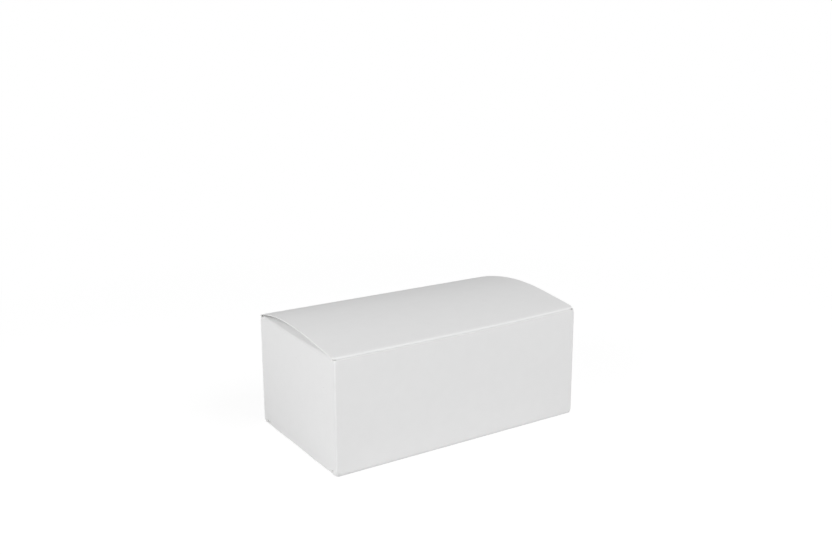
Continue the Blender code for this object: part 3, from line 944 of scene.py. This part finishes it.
class CARTON_OT_dust_flaps(bpy.types.Operator):
    """Folds the two dust flaps in under the lid"""

    bl_idname = "carton.dust_flaps"
    bl_label = "Dust flaps"
    bl_options = {"REGISTER", "UNDO"}

    def execute(self, context):
        board, die, form = settings(context.scene)
        radius, slope = board.dust_radius, form.dust_slope
        turn = SQUARE - slope
        start = leg_edge(radius, turn, LEG)
        shoulder = HEIGHT - LID_LOW.z
        root = DUST_HIGH.y
        tip = (HALF_LENGTH - DUST_LOW.x) / math.cos(slope)
        for name, side in (("left", LEFT), ("right", RIGHT)):
            bm = sheet([
                (start, side * root, 0),
                (shoulder, side * root, 0),
                (tip, side * (root - die.dust_front_taper), die.dust_rounding),
                (tip, -side * (root - die.dust_back_taper), die.dust_rounding),
                (shoulder, -side * root, 0),
                (start, -side * root, 0),
            ])
            score(bm, ALONG, -root, root, board.grid / FLAP_FINENESS)
            score(bm, ACROSS, shoulder, tip, board.grid / BELLY_FINENESS)
            mark_joint(bm, 0, start)
            fold(bm, fold_reach(radius, turn), radius, turn, LEFT)
            crease = Vector((side * HALF_LENGTH, 0, DUST_CREASE.z))
            rise = Vector((-side * math.cos(slope), 0, math.sin(slope)))
            outward = Vector((side * math.sin(slope), 0, math.cos(slope)))
            place = placement(crease, rise, outward)
            flap = add_board(
                name + "_dust_board", bm, place, "coated_board", DUST_SHIFTS, name + "_dust_flap")
            span = crease_span(place, radius, turn, board.caliper)
            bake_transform(flap)
        return {"FINISHED"}


class CARTON_OT_stage(bpy.types.Operator):
    """Adds the pale floor, the soft studio lamps and the camera"""

    bl_idname = "carton.stage"
    bl_label = "Stage"
    bl_options = {"REGISTER", "UNDO"}

    SENSOR = 36
    CLIP_START = 0.01
    CLIP_END = 20
    FLOOR_SIZE = 3

    # How far in from the walls the plain floor under the carton ends
    UNDER_INSET = 0.002

    # From and to how far out the carton's shadow on the floor fades away
    FADE_START = 0.25
    FADE_END = 0.5

    # How much brighter than it need be the lamps' share of the floor is, so that the open floor stays white
    LIT_GAIN = 2

    # Each lamp's azimuth and elevation in degrees, its distance and size, and the setting of its power
    LAMPS = (
        ("key_lamp", -75, 25, 0.6, 0.4, "key_energy"),
        ("left_lamp", -80, 25, 1.4, 0.9, "left_energy"),
        ("fill_lamp", 25, 42, 1.4, 0.9, "fill_energy"),
    )

    def direction(self, azimuth, elevation):
        """From the carton to a place in the studio."""
        level = math.cos(elevation)
        return Vector((math.sin(azimuth) * level, -math.cos(azimuth) * level, math.sin(elevation)))

    def camera(self, scene, stage):
        """Looks at the carton from the photo's angle, with its middle where the picture has it."""
        back = self.direction(stage.azimuth, stage.elevation)
        focal = stage.lens / self.SENSOR * PICTURE.x
        right = (MIDDLE_IN_PICTURE.x - PICTURE.x / 2) / focal
        up = (PICTURE.y / 2 - MIDDLE_IN_PICTURE.y) / focal
        reach = math.sqrt(1 + right**2 + up**2)
        pitch = math.asin(-back.z * reach / math.sqrt(1 + up**2)) - math.atan(up)
        heading = math.atan2(-back.x, -back.y) - math.atan2(right, math.cos(pitch) - up * math.sin(pitch))
        data = bpy.data.cameras.new("camera")
        data.lens = stage.lens
        data.sensor_width = self.SENSOR
        data.clip_start = self.CLIP_START
        data.clip_end = self.CLIP_END
        camera = bpy.data.objects.new("camera", data)
        camera.location = Vector((0, 0, HEIGHT / 2)) + back * stage.distance
        camera.rotation_euler = (SQUARE + pitch, 0, -heading)
        scene.collection.objects.link(camera)
        scene.camera = camera

    def seen(self, tree):
        """1 for what the camera sees, straight on or through a gloss or a glass."""
        path = node(tree, "ShaderNodeLightPath")
        total = path.outputs["Is Camera Ray"]
        for kind in ("Is Glossy Ray", "Is Transmission Ray"):
            added = node(tree, "ShaderNodeMath", operation="ADD", use_clamp=True)
            tree.links.new(total, added.inputs[0])
            tree.links.new(path.outputs[kind], added.inputs[1])
            total = added.outputs[0]
        return total

    def mix(self, tree, share, first, second):
        """The first shader where the share is 0, and the second where it is 1."""
        mixed = node(tree, "ShaderNodeMixShader")
        tree.links.new(share, mixed.inputs["Fac"])
        tree.links.new(first.outputs[0], mixed.inputs[1])
        tree.links.new(second.outputs[0], mixed.inputs[2])
        return mixed

    def floor(self, scene, stage):
        """A floor that looks white, with the carton's faint shadow, and throws light back as pale grey.

        A part of its white glows, and the rest is lit by the lamps, so that a shadow only takes that rest.
        Right under the carton it is plain, and shows dark through the gaps in the base.
        """
        bm = bmesh.new()
        bmesh.ops.create_grid(bm, x_segments=1, y_segments=1, size=self.FLOOR_SIZE)
        under = Vector((HALF_LENGTH - self.UNDER_INSET, HALF_DEPTH - self.UNDER_INSET))
        for corner in (-under, under):
            cut(bm, (*corner, 0), ACROSS)
            cut(bm, (*corner, 0), ALONG)
        for face in faces_between(bm, -under, under):
            face.material_index = 1
        mesh = bpy.data.meshes.new("floor")
        bm.to_mesh(mesh)
        bm.free()
        material = bpy.data.materials.new("floor")
        material.use_nodes = True
        tree = material.node_tree
        tree.nodes.clear()
        bounce = node(tree, "ShaderNodeBsdfDiffuse")
        bounce.inputs["Color"].default_value = (*stage.floor, 1)
        white = node(tree, "ShaderNodeEmission")
        glow = node(tree, "ShaderNodeEmission")
        glow.inputs["Strength"].default_value = 1 - stage.floor_shadow
        lit = node(tree, "ShaderNodeBsdfDiffuse")
        gain = self.LIT_GAIN * stage.floor_shadow
        lit.inputs["Color"].default_value = (*(gain * part for part in stage.floor), 1)
        near = node(tree, "ShaderNodeAddShader")
        tree.links.new(glow.outputs[0], near.inputs[0])
        tree.links.new(lit.outputs[0], near.inputs[1])
        place = node(tree, "ShaderNodeTexCoord").outputs["Object"]
        away = node(tree, "ShaderNodeVectorMath", operation="LENGTH")
        tree.links.new(place, away.inputs[0])
        far = spread(tree, away.outputs["Value"], 0, 1, self.FADE_START, self.FADE_END)
        shown = self.mix(tree, far, near, white)
        either = self.mix(tree, self.seen(tree), bounce, shown)
        output = node(tree, "ShaderNodeOutputMaterial")
        tree.links.new(either.outputs[0], output.inputs["Surface"])
        mesh.materials.append(material)
        plain = bpy.data.materials.new("floor_under_carton")
        plain.use_nodes = True
        plain.node_tree.nodes["Principled BSDF"].inputs["Base Color"].default_value = (*stage.floor, 1)
        mesh.materials.append(plain)
        floor = bpy.data.objects.new("floor", mesh)
        scene.collection.objects.link(floor)

    def surround(self, scene, stage):
        """Light from all round, which the camera sees as white."""
        world = bpy.data.worlds.new("studio")
        scene.world = world
        world.use_nodes = True
        tree = world.node_tree
        background = tree.nodes["Background"]
        background.inputs["Color"].default_value = (1, 1, 1, 1)
        strength = spread(tree, self.seen(tree), stage.surround, 1, 0, 1)
        tree.links.new(strength, background.inputs["Strength"])

    def lamp(self, scene, name, azimuth, elevation, distance, size, energy):
        """A round soft lamp that looks at the carton."""
        middle = Vector((0, 0, HEIGHT / 2))
        back = self.direction(math.radians(azimuth), math.radians(elevation))
        data = bpy.data.lights.new(name, "AREA")
        data.shape = "DISK"
        data.size = size
        data.energy = energy
        lamp = bpy.data.objects.new(name, data)
        lamp.location = middle + back * distance
        lamp.rotation_euler = (-back).to_track_quat("-Z", "Y").to_euler()
        scene.collection.objects.link(lamp)

    def execute(self, context):
        scene = context.scene
        stage = scene.carton_stage
        self.camera(scene, stage)
        self.floor(scene, stage)
        self.surround(scene, stage)
        for name, azimuth, elevation, distance, size, energy in self.LAMPS:
            self.lamp(scene, name, azimuth, elevation, distance, size, getattr(stage, energy))
        scene.view_settings.view_transform = "Standard"
        return {"FINISHED"}


class CARTON_PT_panel(bpy.types.Panel):
    """Lists the carton's pieces and settings in the sidebar"""

    bl_label = "Food carton"
    bl_idname = "CARTON_PT_panel"
    bl_space_type = "VIEW_3D"
    bl_region_type = "UI"
    bl_category = "Carton"

    def draw(self, context):
        for title, group, _ in SETTINGS:
            box = self.layout.box()
            box.label(text=title)
            values = getattr(context.scene, group)
            for name in values.__annotations__:
                box.prop(values, name)
        for operator in OPERATORS:
            self.layout.operator(operator.bl_idname)


SETTINGS = (
    ("Board", "carton_board", BoardSettings),
    ("Die", "carton_die", DieSettings),
    ("Form", "carton_form", FormSettings),
    ("Finish", "carton_finish", FinishSettings),
    ("Stage", "carton_stage", StageSettings),
)
OPERATORS = (CARTON_OT_walls, CARTON_OT_base, CARTON_OT_lid, CARTON_OT_dust_flaps, CARTON_OT_stage)
CLASSES = (*(group for _, _, group in SETTINGS), *OPERATORS, CARTON_PT_panel)


def register():
    for cls in CLASSES:
        bpy.utils.register_class(cls)
    for _, name, group in SETTINGS:
        setattr(bpy.types.Scene, name, PointerProperty(type=group))


def unregister():
    for _, name, _ in SETTINGS:
        delattr(bpy.types.Scene, name)
    for cls in reversed(CLASSES):
        bpy.utils.unregister_class(cls)


def main():
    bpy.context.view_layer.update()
    register()
    bpy.ops.carton.walls()
    bpy.ops.carton.base()
    bpy.ops.carton.lid()
    bpy.ops.carton.dust_flaps()
    bpy.ops.carton.stage()


if __name__ == "__main__":
    main()
